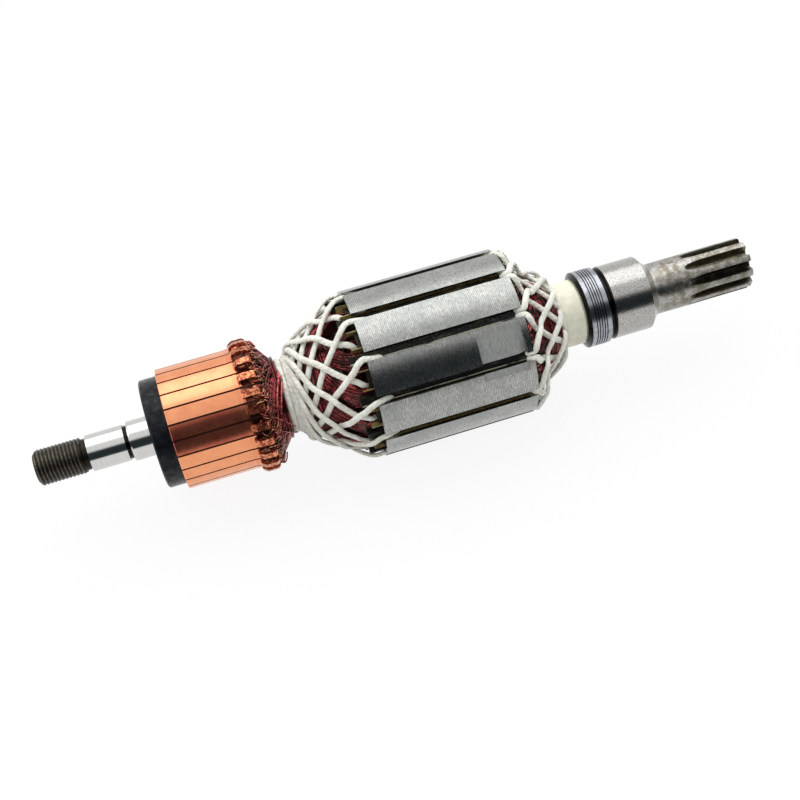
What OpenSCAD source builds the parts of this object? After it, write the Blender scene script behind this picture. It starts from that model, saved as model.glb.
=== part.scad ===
// Wound armature of a universal motor: shaft, commutator, slotted core, coils and lacing twine.
// The shaft's axis lies along X, drive end towards +X, and X = 0 is the middle of the drive bearing.

/* [Shaft] */
// Diameter of the threaded end at the middle of its thread
thread_d = 11.2; // [10:0.1:12]
// Length of the threaded end
thread_len = 15.6; // [8:0.1:25]
// Diameter of the commutator-end bearing seat
small_seat_d = 12; // [11:0.1:13]
// Length of the commutator-end bearing seat
small_seat_len = 12.6; // [8:0.1:20]
// Diameter of the shaft under the commutator
collar_d = 13.2; // [13.1:0.1:15]
// Length of the collar that shows before the commutator
collar_len = 7.6; // [3:0.1:15]
// Diameter of the shaft inside the insulating sleeve
body_d = 17; // [15.5:0.1:17.8]
// Diameter of the drive bearing seat
drive_seat_d = 25; // [24:0.1:25.6]
// Width of the bearing that the drive seat carries
bearing_w = 15; // [10:0.1:20]
// Length of the cone between the drive seat and the nose
shoulder_len = 3.3; // [1:0.1:6]

/* [Pinion] */
// Diameter of the nose and of the pinion's tooth tips
nose_d = 17.4; // [16:0.1:19]
// Length from the drive seat's cone to the end of the pinion
nose_len = 34.3; // [28:0.1:45]
// Number of pinion teeth
pinion_teeth = 10; // [8:1:11]
// Length of the pinion at full tooth depth
pinion_len = 16; // [8:0.1:20]
// Depth of the gaps between the teeth
tooth_depth = 2.9; // [1.5:0.1:3.2]
// Width of a tooth gap at the tips
tooth_gap = 3.5; // [2.5:0.1:3.8]
// Radius of the cutter that leaves the sloped ends of the gaps
cutter_r = 11; // [7:0.1:14]

/* [Labyrinth ring] */
// Outer diameter of the ring
ring_d = 26; // [25.6:0.1:30]
// Bore of the ring
ring_bore = 22; // [21:0.1:22.4]
// Width of the ring
ring_w = 7.9; // [6:0.1:12]
// Number of oil grooves around the ring
ring_grooves = 5; // [1:1:6]

/* [Commutator] */
// Number of copper bars
bars = 24; // [12:12:24]
// Diameter of the brush track
track_d = 39.9; // [39:0.1:42]
// Length of the bars
bar_len = 30.3; // [26:0.1:38]
// Gap between two bars
bar_gap = 0.6; // [0.4:0.05:1]
// Depth of the mica below the track
mica_depth = 0.7; // [0.3:0.1:1.2]
// Diameter over the bent hooks
hook_d = 44.2; // [43.6:0.1:45]
// Width of a hook
hook_w = 2.3; // [2:0.1:3.2]
// Diameter of the moulded flange
flange_d = 36; // [34:0.1:38]
// Width of the moulded flange
flange_w = 6.1; // [4:0.1:9]

/* [Core] */
// Diameter of the core
core_d = 56; // [55.6:0.1:58]
// Length of the core
core_len = 51.4; // [40:0.1:65]
// Number of slots
slots = 12; // [12:1:12]
// Width of a slot's mouth
mouth_w = 3.1; // [2.9:0.1:3.6]
// Width of a tooth
tooth_w = 5.8; // [5:0.1:6]
// Length of the flat milled for balance
balance_len = 14.9; // [4:0.1:20]
// Depth of the flat milled for balance
balance_depth = 1.1; // [0.4:0.1:1.2]

/* [Insulation] */
// Diameter of the sleeve at the drive end
sleeve_d = 22; // [21:0.1:22.4]
// Diameter of the sleeve inside the core
sleeve_core_d = 19.6; // [19:0.1:20]
// Thickness of the slot paper
paper_t = 0.3; // [0.2:0.05:0.4]
// Length of the paper that stands out of each slot
cuff_len = 3.4; // [2:0.1:4.5]
// Thickness of the fibre end plates
end_plate_t = 1; // [0.5:0.1:1.1]
// Length of the wedges that stands out at the commutator end
wedge_tip_comm = 5; // [2:0.1:5.2]
// Length of the wedges that stands out at the drive end
wedge_tip_drive = 2.3; // [1.5:0.1:2.8]

/* [Winding] */
// Distance from the core to the commutator's bars
comm_room = 33.6; // [32.5:0.1:40]
// Distance from the core to the labyrinth ring
drive_room = 24; // [17:0.1:32]
// Height of the end winding at the commutator end
coil_h_comm = 22.6; // [20:0.1:23]
// Height of the end winding at the drive end
coil_h_drive = 15; // [12:0.1:16]
// Diameter of the winding wire with its enamel
wire_d = 0.8; // [0.6:0.05:0.85]

/* [Lacing] */
// Thickness of the flattened lacing twine
twine_d = 1.4; // [1.2:0.05:1.4]
// Width of the flattened lacing twine
twine_w = 2.05; // [1.6:0.05:2.05]
// Turns of twine around the neck
neck_turns = 2; // [1:1:2]

/* [Hidden] */
$fn = 48;
// Clearance between pressed or moulded pieces
fit = 0.02;
// Clearance between wound pieces
wound_gap = 0.08;
// Chamfer on turned edges
edge = 0.5;

// Stations along the shaft, from the drive end to the threaded end
ring_face_x = -bearing_w / 2;
seat_relief_w = 1.6;
seat_start_x = ring_face_x + seat_relief_w;
seat_end_x = bearing_w / 2;
nose_x = seat_end_x + shoulder_len;
tip_x = nose_x + nose_len;
ring_x = ring_face_x - ring_w;
core_end_x = ring_x - drive_room;
core_x = core_end_x - core_len;
bar_end_x = core_x - comm_room;
bar_x = bar_end_x - bar_len;
flange_x = bar_x - flange_w;
collar_x = flange_x - collar_len;
relief_w = 1.4;
small_seat_end_x = collar_x - relief_w;
small_seat_x = small_seat_end_x - small_seat_len;
run_out = 1.2;
thread_end_x = small_seat_x - run_out;
thread_x = thread_end_x - thread_len;

// Commutator radii and the hook land beside the track
track_r = track_d / 2;
hook_r = hook_d / 2;
hook_t = 1.05;
hook_land = 5.2;
hook_reach_x = bar_end_x - hook_land - 0.7;
land_r = track_r - 0.55;
track_end_x = bar_end_x - hook_land;
turned_end_x = track_end_x - 2.1;
foot_r = 13.8;
waist_r = 15.8;
heel_r = 17.2;
bush_d = collar_d + 4;
bar_pitch = 360 / bars;
bar_phase = -1.5;
hub_lip = 1;

// Angle of the first tooth gap of the pinion
pinion_phase = 14.8;

// Slot shape, drawn with the slot's centre line along X
slot_pitch = 360 / slots;
core_r = core_d / 2;
slot_floor_r = 15.2;
lip_inner_r = core_r - 2.1;
mouth_r = core_r - 1;
fill_depth = 5.3;
lower_share = 0.6;
fill_r = core_r - fill_depth;
split_r = slot_floor_r + lower_share * (fill_r - slot_floor_r);
side_gap = paper_t + 0.15;
wedge_low_r = fill_r + 0.4;
wedge_top_r = mouth_r - 0.9;
twine_bed_r = wedge_top_r + 0.25 + twine_d / 2;

// End winding: six layers of two coils each, nested as domes
layers = 6;
coil_span = 5;
layer_floor = end_plate_t + 0.2;
arc_comm_r = sleeve_core_d / 2 + 0.2;
arc_drive_r = sleeve_d / 2 + 0.2;
arc_out_r = 14.3;
crown_comm_r = arc_comm_r + 0.9;
crown_drive_r = arc_drive_r + 0.1;
brow_comm = 5.5;
brow_drive = 3;
brow_comm_depth = 5.1;
brow_drive_depth = 9.2;
brow_comm_r = core_r - brow_comm_depth;
brow_drive_r = core_r - brow_drive_depth;
bulge_comm = 0.85;
bulge_drive = 0.75;
dome_steps = 6;

// Neck, where the leads are bound
neck_lead_r = sleeve_core_d / 2 + 0.35 + wire_d / 2;
neck_x = core_x - coil_h_comm;
neck_twine_r = crown_comm_r + 0.35 + twine_d / 2;
neck_end_x = neck_x - neck_turns * twine_w;
lead_twist = 22;

// Routes of the lacing twines: share of the winding's height, angle from the twine's slot, level
comm_routes = [
    [[0.04, 1.5, 2], [0.13, 3.5, 2], [0.21, 7, 1.6], [0.31, 11, 1], [0.42, 17, 0.7], [0.53, 24, 0],
        [0.62, 32, 0], [0.71, 43, 0], [0.8, 56, 0], [0.88, 70, 0], [0.95, 84, 0]],
    [[0.12, 17.5, 0], [0.2, 14.5, 0], [0.31, 11, 0], [0.42, 5, 0.3], [0.53, -2, 1], [0.62, -8.5, 1],
        [0.71, -14.5, 1], [0.79, -21.5, 1], [0.85, -30.5, 1], [0.91, -44, 1], [0.955, -56, 1]]
];
drive_routes = [
    [[0.06, 2.5, 2], [0.12, 5.5, 2], [0.22, 11, 1.3], [0.32, 15.5, 0.2], [0.44, 20, 0], [0.58, 27, 0],
        [0.72, 34, 0], [0.84, 41, 0], [0.93, 47, 0]],
    [[0.06, -2.5, 2], [0.12, -6, 2], [0.22, -11.5, 1.8], [0.32, -15.5, 1.6], [0.44, -20, 1], [0.58, -26, 1],
        [0.72, -33, 1], [0.84, -40, 1], [0.96, -49, 1]]
];

// Turns an object drawn around Z so that it lies along X; angle 0 then points down
module along_x() {
    rotate([0, 90, 0]) children();
}

// A turned solid from points given as [station, radius]
module turned(points) {
    along_x() rotate_extrude() polygon([for (p = points) [p[1], p[0]]]);
}

// ---- Shaft ----

// Profile of one tooth gap: X is the radius, Y the width
module gap_profile(floor_r) {
    top = nose_d / 2 + 0.4;
    flank = (tooth_gap / 2 - 0.95) / tooth_depth;
    polygon([
        [floor_r, -0.45], [floor_r + 0.5, -0.95], [top, -tooth_gap / 2 - 0.4 * flank],
        [top, tooth_gap / 2 + 0.4 * flank], [floor_r + 0.5, 0.95], [floor_r, 0.45]
    ]);
}

// One tooth gap with the sloped end that a round cutter leaves
module tooth_gap_cut() {
    floor_r = nose_d / 2 - tooth_depth;
    step = 0.03;
    translate([0, 0, tip_x - pinion_len]) linear_extrude(pinion_len + 1) gap_profile(floor_r);
    translate([floor_r + step + cutter_r, 0, tip_x - pinion_len + 0.4])
        rotate([90, 0, 0])
            rotate_extrude()
                translate([floor_r + cutter_r, 0]) mirror([1, 0]) gap_profile(floor_r);
}

// Centre drilling in a shaft end
module centre_hole(x, direction) {
    hole_r = 1.3;
    mouth = 2.8;
    turned([[x + direction, 0], [x + direction, mouth + 1], [x, mouth],
        [x - direction * 2.6, hole_r], [x - direction * 5, hole_r], [x - direction * 5.6, 0]]);
}

module shaft() {
    color("lightsteelblue")
    difference() {
        turned([
            [thread_x, 0], [thread_x, thread_d / 2 - 1], [thread_x + 1, thread_d / 2],
            [thread_end_x - 0.4, thread_d / 2], [thread_end_x, thread_d / 2 - edge],
            [small_seat_x, thread_d / 2 - edge], [small_seat_x + 0.5, small_seat_d / 2],
            [small_seat_end_x, small_seat_d / 2], [small_seat_end_x, small_seat_d / 2 - edge],
            [collar_x, small_seat_d / 2 - edge], [collar_x, collar_d / 2 - 0.2],
            [collar_x + 0.4, collar_d / 2], [bar_end_x + hub_lip, collar_d / 2],
            [bar_end_x + hub_lip, body_d / 2], [ring_x, body_d / 2],
            [ring_x, ring_bore / 2], [ring_face_x, ring_bore / 2], [ring_face_x, ring_bore / 2 + 0.4],
            [seat_start_x, ring_bore / 2 + 0.4], [seat_start_x, drive_seat_d / 2 - 0.4],
            [seat_start_x + 0.5, drive_seat_d / 2], [seat_end_x, drive_seat_d / 2],
            [nose_x - 0.3, nose_d / 2 + 0.25], [nose_x + 0.6, nose_d / 2],
            [tip_x - edge, nose_d / 2], [tip_x, nose_d / 2 - edge], [tip_x, 0]
        ]);
        centre_hole(thread_x, -1);
        centre_hole(tip_x, 1);
        along_x()
            for (i = [0:pinion_teeth - 1])
                rotate([0, 0, pinion_phase + i * 360 / pinion_teeth]) tooth_gap_cut();
    }
}

// Pressed ring with fine oil grooves and a bevelled inner face
module labyrinth_ring() {
    ring_r = ring_d / 2;
    groove_w = 0.36;
    groove_pitch = 0.86;
    groove_depth = 0.5;
    first = ring_x + 2.4;
    bevel_w = 0.9;
    bevel_depth = 0.85 * (ring_r - ring_bore / 2);
    color("slategray")
    difference() {
        turned([
            [ring_x, ring_bore / 2 + fit], [ring_x, ring_r - bevel_depth], [ring_x + bevel_w, ring_r],
            [ring_face_x - 0.2, ring_r], [ring_face_x, ring_r - 0.2], [ring_face_x, ring_bore / 2 + fit]
        ]);
        for (i = [0:ring_grooves - 1])
            turned([
                [first + i * groove_pitch, ring_r - groove_depth], [first + i * groove_pitch, ring_r + 1],
                [first + i * groove_pitch + groove_w, ring_r + 1],
                [first + i * groove_pitch + groove_w, ring_r - groove_depth]
            ]);
    }
}

// Moulded tube that insulates the shaft from the core, with a shoulder for the core
module insulating_sleeve() {
    shoulder_x = core_end_x + fit;
    color("ivory")
    turned([
        [bar_end_x + hub_lip + 0.2, body_d / 2 + fit], [bar_end_x + hub_lip + 0.2, sleeve_core_d / 2],
        [shoulder_x, sleeve_core_d / 2], [shoulder_x, sleeve_d / 2],
        [ring_x - fit - 0.6, sleeve_d / 2], [ring_x - fit, sleeve_d / 2 - 0.6],
        [ring_x - fit, body_d / 2 + fit]
    ]);
}

// ---- Commutator ----

// Foot of the bars, from the flange side to the core side, grown by g
function foot(g) = [
    [bar_x - g, heel_r - g], [bar_x + 3 - 2 * g, waist_r], [bar_x + 1.4 - 2 * g, foot_r - g],
    [bar_end_x - 1.4 + 2 * g, foot_r - g], [bar_end_x - 3 + 2 * g, waist_r], [bar_end_x + g, heel_r - g]
];

module commutator_bush() {
    color("darkgray")
    turned([
        [flange_x + 0.5, collar_d / 2 + fit], [flange_x + 0.5, bush_d / 2],
        [bar_end_x + 0.4, bush_d / 2], [bar_end_x + 0.4, collar_d / 2 + fit]
    ]);
}

// Moulded body with the flange, gripping the feet of the bars
module commutator_hub() {
    flange_r = flange_d / 2;
    color("black")
    turned(concat(
        [[flange_x, bush_d / 2 + fit], [flange_x, flange_r - edge], [flange_x + edge, flange_r],
        [bar_x - fit, flange_r]],
        foot(fit),
        [[bar_end_x + hub_lip, heel_r - 0.6], [bar_end_x + hub_lip, bush_d / 2 + fit]]
    ));
}

// Section of a hook: a strip that rises at the bar's end and is bent back over the wire
module hook_section() {
    bend = 1.35;
    top = hook_r;
    reach = hook_reach_x;
    translate([bar_end_x - bend, top - bend]) intersection() {
        circle(r = bend);
        square(bend + 1);
    }
    translate([bar_end_x - bend - 3, top - hook_t]) square([3.01, hook_t]);
    translate([bar_end_x - hook_t, land_r - 1]) square([hook_t, top - bend - land_r + 1.01]);
    polygon([
        [bar_end_x - bend - 2.99, top], [bar_end_x - bend - 2.99, top - hook_t],
        [reach, track_r - 0.05], [reach - 0.3, track_r + 0.7], [reach + 0.3, track_r + 1.4]
    ]);
}

// The hook, with its free end rounded as seen from outside
module hook() {
    round_r = 0.62 * hook_w;
    round_x = hook_reach_x + round_r;
    intersection() {
        rotate([90, 0, 0]) linear_extrude(hook_w, center = true) mirror([1, -1]) hook_section();
        rotate([0, 90, 0]) translate([0, 0, land_r - 2]) linear_extrude(hook_r - land_r + 3) {
            translate([-round_x, 0]) circle(r = round_r + 0.3, $fn = 24);
            translate([-bar_end_x - 1, -hook_w]) square([bar_end_x + 1 - round_x, 2 * hook_w]);
        }
    }
}

// One bar: brush track, step down under the wire, hook and dovetail foot
module bar_solid() {
    half = bar_pitch / 2 - bar_gap / track_r * 90 / PI;
    section = concat(
        [[bar_x, track_r - 0.2], [bar_x + 0.2, track_r], [turned_end_x, track_r],
        [turned_end_x, track_r + 0.12], [track_end_x, track_r + 0.12], [track_end_x, land_r],
        [bar_end_x, land_r]],
        [for (i = [5:-1:0]) foot(0)[i]]
    );
    along_x() {
        rotate([0, 0, -half])
            rotate_extrude(angle = 2 * half) polygon([for (p = section) [p[1], p[0]]]);
        hook();
    }
}

module commutator_bar(i) {
    color("peru") rotate([bar_phase + i * bar_pitch, 0, 0]) bar_solid();
}

// Mica between the bars, cut back below the track
module mica_segments() {
    half = bar_gap / track_r * 90 / PI - fit / foot_r * 90 / PI;
    top = land_r - 0.1;
    section = concat(
        [[bar_x, track_r - mica_depth], [track_end_x, track_r - mica_depth], [track_end_x, top],
        [bar_end_x, top]],
        [for (i = [5:-1:0]) foot(0)[i]]
    );
    color("tan")
    for (i = [0:bars - 1])
        rotate([bar_phase + (i + 0.5) * bar_pitch, 0, 0])
            along_x()
                rotate([0, 0, -half])
                    rotate_extrude(angle = 2 * half) polygon([for (p = section) [p[1], p[0]]]);
}

// ---- Core and slot insulation ----

// Half width of a slot at radius r, drawn in by g
function slot_half(r, g = 0) = r * tan(slot_pitch / 2) - (tooth_w / 2 + g) / cos(slot_pitch / 2);

// Slot body with a round floor, drawn in by g, up to radius top
module slot_body(g, top) {
    polygon([
        [slot_floor_r, -slot_half(slot_floor_r, g)], [top, -slot_half(top, g)],
        [top, slot_half(top, g)], [slot_floor_r, slot_half(slot_floor_r, g)]
    ]);
    translate([slot_floor_r, 0]) circle(r = slot_half(slot_floor_r, g) * cos(slot_pitch / 2));
}

module slot_opening() {
    slot_body(0, lip_inner_r);
    polygon([
        [lip_inner_r - 0.01, -slot_half(lip_inner_r)], [mouth_r, -mouth_w / 2], [core_r + 1, -mouth_w / 2],
        [core_r + 1, mouth_w / 2], [mouth_r, mouth_w / 2], [lip_inner_r - 0.01, slot_half(lip_inner_r)]
    ]);
}

// Places children in every slot
module at_slots() {
    for (i = [0:slots - 1])
        rotate([0, 0, i * slot_pitch]) children();
}

module core_stack() {
    flat_angle = 232;
    flat_end = core_end_x - 1.9;
    ramp_w = 2.6;
    cut_w = 1.4 * core_r;
    color("silver")
    difference() {
        along_x() translate([0, 0, core_x]) linear_extrude(core_len) difference() {
            circle(r = core_r);
            circle(r = sleeve_core_d / 2 + fit);
            at_slots() slot_opening();
        }
        rotate([flat_angle, 0, 0]) {
            translate([flat_end - balance_len, -cut_w / 2, -core_r - 1])
                cube([balance_len - ramp_w, cut_w, balance_depth + 1]);
            translate([flat_end - ramp_w - 0.01, -cut_w / 2, -core_r - 1])
                rotate([0, -3, 0]) cube([ramp_w, cut_w, balance_depth + 1]);
        }
    }
}

// Fibre plate with the outline of the teeth, against one end of the core
module end_plate(x, bore) {
    color("dimgray")
    along_x() translate([0, 0, x]) linear_extrude(end_plate_t - fit) difference() {
        circle(r = core_r - 3.4);
        circle(r = bore / 2 + fit);
        at_slots() slot_body(0, core_r);
    }
}

module end_plate_commutator_side() {
    end_plate(core_x - end_plate_t, sleeve_core_d);
}

module end_plate_drive_side() {
    end_plate(core_end_x + fit, sleeve_d);
}

// Outline of the slot paper's section on one face, drawn in by g, from the mouth round the floor
function paper_line(g, side) =
    let (top = lip_inner_r - 0.4, bend_r = slot_half(slot_floor_r, g) * cos(slot_pitch / 2))
    concat(
        [[top, side * slot_half(top, g)]],
        [for (i = [0:4])
            let (a = side * (90 + slot_pitch / 2 + i * (90 - slot_pitch / 2) / 4))
            [slot_floor_r + bend_r * cos(a), bend_r * sin(a)]]
    );

function reversed(list) = [for (i = [len(list) - 1:-1:0]) list[i]];

// Section of the folded slot paper
module paper_section() {
    outer = 0.05;
    inner = outer + paper_t;
    polygon(concat(
        paper_line(outer, 1), reversed(paper_line(outer, -1)),
        paper_line(inner, -1), reversed(paper_line(inner, 1))
    ));
}

// Papers in the slots; only their flanks stand out as cuffs beyond the end plates
module slot_liners() {
    cuff_drive = cuff_len * 0.4;
    color("darkkhaki")
    along_x() at_slots() difference() {
        translate([0, 0, core_x - cuff_len]) linear_extrude(core_len + cuff_len + cuff_drive) paper_section();
        translate([0, -core_r / 3, core_x - cuff_len - 1])
            cube([wedge_low_r, core_r * 2 / 3, cuff_len + 1 - end_plate_t]);
        translate([0, -core_r / 3, core_end_x + end_plate_t])
            cube([wedge_low_r, core_r * 2 / 3, cuff_drive + 1 - end_plate_t]);
    }
}

module slot_wedges() {
    low_half = slot_half(wedge_low_r, side_gap);
    tongue = mouth_w / 2;
    color("dimgray")
    along_x() at_slots() {
        translate([0, 0, core_x]) linear_extrude(core_len) polygon([
            [wedge_low_r, -low_half], [wedge_low_r + 1.2, -low_half], [wedge_top_r, -tongue],
            [wedge_top_r, tongue], [wedge_low_r + 1.2, low_half], [wedge_low_r, low_half]
        ]);
        translate([wedge_low_r, -tongue, core_x - wedge_tip_comm])
            cube([wedge_top_r - wedge_low_r, 2 * tongue, core_len + wedge_tip_comm + wedge_tip_drive]);
    }
}

// ---- Coils ----

// Height of the outer dome above the core at radius r
function dome_z(r, h, brow, brow_r, crown_r, bulge) =
    r >= brow_r ? brow
    : r <= crown_r ? h
    : brow + (h - brow) * (1 - pow((r - crown_r) / (brow_r - crown_r), 1 / bulge));
function dome_comm(r) = dome_z(r, coil_h_comm, brow_comm, brow_comm_r, crown_comm_r, bulge_comm);
function dome_drive(r) = dome_z(r, coil_h_drive, brow_drive, brow_drive_r, crown_drive_r, bulge_drive);

// Height of the top of a layer, where layer 0 is the floor
function layer_z(z, layer) = layer_floor + (z - layer_floor) * layer / layers;
function steps(a, b) = [for (i = [0:dome_steps]) a + (b - a) * i / dome_steps];

// Everything up to the top of a layer, on both sides of the core, drawn in by g
module up_to_layer(layer, g) {
    bent = layer > 0;
    turned(concat(
        [[core_x - layer_z(coil_h_comm, layer) + g, 0]],
        [if (bent) for (r = steps(crown_comm_r, brow_comm_r))
            [core_x - layer_z(dome_comm(r), layer) + g, r]],
        [[core_x - layer_z(brow_comm, layer) + g, core_r], [core_end_x + layer_z(brow_drive, layer) - g, core_r]],
        [if (bent) for (r = steps(brow_drive_r, crown_drive_r))
            [core_end_x + layer_z(dome_drive(r), layer) - g, r]],
        [[core_end_x + layer_z(coil_h_drive, layer) - g, 0]]
    ));
}

// Section of one coil side; the upper side lies over the lower one in the same slot
module side_section(upper) {
    low = upper ? split_r + wound_gap : slot_floor_r;
    high = upper ? fill_r : split_r - wound_gap;
    polygon([
        [low, -slot_half(low, side_gap)], [high, -slot_half(high, side_gap)],
        [high, slot_half(high, side_gap)], [low, slot_half(low, side_gap)]
    ]);
}

// Radius of the middle of a coil side, and the angle from it to where its end turn meets the arc
function side_mid_r(upper) = upper ? (split_r + fill_r) / 2 : (slot_floor_r + split_r) / 2;
function run_angle(upper, inner_r) = acos((inner_r + arc_out_r) / 2 / side_mid_r(upper));

// Straight run of an end turn from a coil side in to the arc around the shaft
module run_section(upper, inner_r, turn) {
    length = side_mid_r(upper) * sin(run_angle(upper, inner_r)) + 0.4;
    inset = 0.06;
    rotate(turn * run_angle(upper, inner_r))
        translate([inner_r + inset, turn > 0 ? -length : 0]) square([arc_out_r - inner_r - 2 * inset, length]);
    side_section(upper);
}

// Whole end turn seen along the shaft
module end_turn_section(upper_1, upper_2, inner_r) {
    span = coil_span * slot_pitch;
    middle = span / 2;
    reach = middle - run_angle(false, inner_r) + 5;
    far = 1.4 * arc_out_r;
    run_section(upper_1, inner_r, 1);
    rotate(span) run_section(upper_2, inner_r, -1);
    intersection() {
        difference() {
            circle(r = arc_out_r);
            circle(r = inner_r);
        }
        rotate(middle) polygon([[0, 0], [far * cos(reach), -far * sin(reach)], [far, 0],
            [far * cos(reach), far * sin(reach)]]);
    }
}

// One coil: two sides in their slots and an end turn at each end of the core
module coil(i) {
    layer = i % layers;
    upper_1 = layer == layers - 1;
    upper_2 = layer != 0;
    color("brown")
    rotate([i * slot_pitch, 0, 0]) {
        intersection() {
            along_x() translate([0, 0, core_x - coil_h_comm]) linear_extrude(core_len + coil_h_comm + coil_h_drive) {
                side_section(upper_1);
                rotate(coil_span * slot_pitch) side_section(upper_2);
            }
            up_to_layer(layer + 1, wound_gap);
        }
        intersection() {
            difference() {
                along_x() {
                    translate([0, 0, core_x - coil_h_comm])
                        linear_extrude(coil_h_comm) end_turn_section(upper_1, upper_2, arc_comm_r);
                    translate([0, 0, core_end_x])
                        linear_extrude(coil_h_drive) end_turn_section(upper_1, upper_2, arc_drive_r);
                }
                up_to_layer(layer, 0);
            }
            up_to_layer(layer + 1, wound_gap);
        }
    }
}

// ---- Leads, neck and lacing ----

// Point at a radius, angle and station, before the part is laid along X
function at(r, angle, x) = [r * cos(angle), r * sin(angle), x];

// Direction of a row of points at point i, and the square direction carried along it without twist
function unit(v) = v / norm(v);
function heading(points, i) = unit(points[min(i + 1, len(points) - 1)] - points[max(i - 1, 0)]);
function carried(points, start, i = 0) =
    i == len(points) ? []
    : let (t = heading(points, i), n = unit(start - (start * t) * t)) concat([n], carried(points, n, i + 1));

// A tube of six sides through a row of points, d thick along its normals and w wide across them
module tube(points, normals, d, w) {
    sides = 6;
    last = len(points) - 1;
    function ring(i) =
        let (b = cross(heading(points, i), normals[i]))
        [for (k = [0:sides - 1])
            points[i] + d / 2 * cos(k * 60 + 30) * normals[i] + w / 2 * sin(k * 60 + 30) * b];
    faces = concat(
        [[for (k = [0:sides - 1]) k]],
        [for (i = [0:last - 1], k = [0:sides - 1], half = [0, 1])
            let (a = i * sides + k, b = i * sides + (k + 1) % sides)
            half == 0 ? [a + sides, b, a] : [a + sides, b + sides, b]],
        [[for (k = [sides - 1:-1:0]) last * sides + k]]
    );
    polyhedron([for (i = [0:last]) each ring(i)], faces);
}

// A round wire; its cross-section is carried along without twist
module wire(points) {
    tube(points, carried(points, [points[0][0], points[0][1], 0]), wire_d, wire_d);
}

// One wire per bar: up from the neck, around under the hook and back to the neck
module winding_leads() {
    side = hook_w / 2 + wire_d / 2 + 0.15;
    loop_r = land_r + 0.12 + wire_d / 2;
    loop_x = bar_end_x - 2.4;
    leave = atan(side / loop_r);
    leave_r = norm([side, loop_r]);
    function half_path(s) =
        let (down = s * bar_pitch / 4 + lead_twist)
        [
            at(neck_lead_r, down, neck_x - 0.1), at(neck_lead_r, down, neck_end_x - 0.4),
            at(neck_lead_r + 0.5, down - 1, neck_end_x - 0.9),
            at(leave_r, s * leave + 1, bar_end_x + 0.75), at(leave_r, s * leave, bar_end_x + 0.2),
            at(leave_r, s * leave, loop_x + 0.6), [loop_r, s * (side - 0.6), loop_x]
        ];
    color("firebrick")
    along_x() for (i = [0:bars - 1])
        rotate([0, 0, bar_phase + i * bar_pitch])
            wire(concat(half_path(-1), reversed(half_path(1))));
}

// Wires wound once around the neck beside the binding
module neck_wires() {
    rise = (land_r - neck_lead_r) / (neck_end_x - bar_end_x);
    first_r = neck_lead_r + wire_d + 1.15;
    first_x = neck_end_x - 0.55;
    color("firebrick")
    for (p = [[0, 0], [0, 1], [-1, 1]])
        along_x() translate([0, 0, first_x + p[0] * (wire_d + 0.02)])
            rotate_extrude() translate([first_r + p[1] * (wire_d + 0.02) + rise * 0.1, 0])
                circle(d = wire_d, $fn = 16);
}

module neck_binding() {
    color("whitesmoke")
    for (i = [0:neck_turns - 1])
        along_x() translate([0, 0, neck_x - (i + 0.5) * twine_w])
            rotate_extrude() polygon([for (a = [0:30:330])
                [neck_twine_r + twine_d / 2 * cos(a), (twine_w / 2 - 0.01) * sin(a)]]);
}

// Radius of the winding's surface at height z above the core
function surface_r(z, h, brow, brow_r, crown_r, bulge) =
    z <= brow ? brow_r
    : crown_r + (brow_r - crown_r) * pow(max(0, 1 - (z - brow) / (h - brow)), bulge);

// Radius at which a twine lies on the winding, measured square to its surface
function skin_r(z, lift, h, brow, brow_r, crown_r, bulge) =
    let (r = surface_r(z, h, brow, brow_r, crown_r, bulge),
        slope = min(1, r - surface_r(z + 1, h, brow, brow_r, crown_r, bulge)))
    r + lift * sqrt(1 + slope * slope);

// Level of a twine over the winding: 0 lies on it, 1 lies over the other twines, 2 lies in the slot's mouth
function twine_r(level, skin_low, skin_high) =
    level <= 1 ? skin_low + (skin_high - skin_low) * level
    : skin_high + (twine_bed_r - skin_high) * (level - 1);

// Route of a twine: share of the winding's height, angle from its slot, level
function twine_points(route, slot, h, brow, brow_r, crown_r, bulge, x, side) =
    let (low = twine_d / 2 + 0.15, high = low + twine_d + 0.2)
    [for (p = route)
        let (z = p[0] * h,
            skin_low = skin_r(z, low, h, brow, brow_r, crown_r, bulge),
            skin_high = skin_r(z, high, h, brow, brow_r, crown_r, bulge))
        at(twine_r(p[2], skin_low, skin_high), slot * slot_pitch + p[1], x + side * z)];

// Direction square to the surface under point i of a twine; the winding leans, the slot's mouth doesn't
function leaning(points, i, lean) =
    let (t = heading(points, i), out = unit([points[i][0], points[i][1], 0]) + [0, 0, lean])
    unit(out - (out * t) * t);

// Two families of flat twine that cross over each other
module lacing(routes, h, brow, brow_r, crown_r, bulge, x, side) {
    for (i = [0:slots - 1], route = routes) {
        points = twine_points(route, i, h, brow, brow_r, crown_r, bulge, x, side);
        normals = [for (k = [0:len(points) - 1])
            leaning(points, k, side * 0.7 * min(1, 2 - route[k][2]))];
        tube(points, normals, twine_d / cos(30), twine_w);
    }
}

module lacing_commutator_side() {
    color("whitesmoke")
    along_x() lacing(comm_routes, coil_h_comm, brow_comm, brow_comm_r, crown_comm_r, bulge_comm, core_x, -1);
}

// The drive side ends in a ring of twine beside the sleeve
module lacing_drive_side() {
    color("whitesmoke")
    along_x() {
        lacing(drive_routes, coil_h_drive, brow_drive, brow_drive_r, crown_drive_r, bulge_drive, core_end_x, 1);
        translate([0, 0, core_end_x + coil_h_drive + twine_d / 2 + 0.05])
            rotate_extrude() translate([sleeve_d / 2 + twine_d / 2 + 0.05, 0]) circle(d = twine_d, $fn = 16);
    }
}

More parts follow.
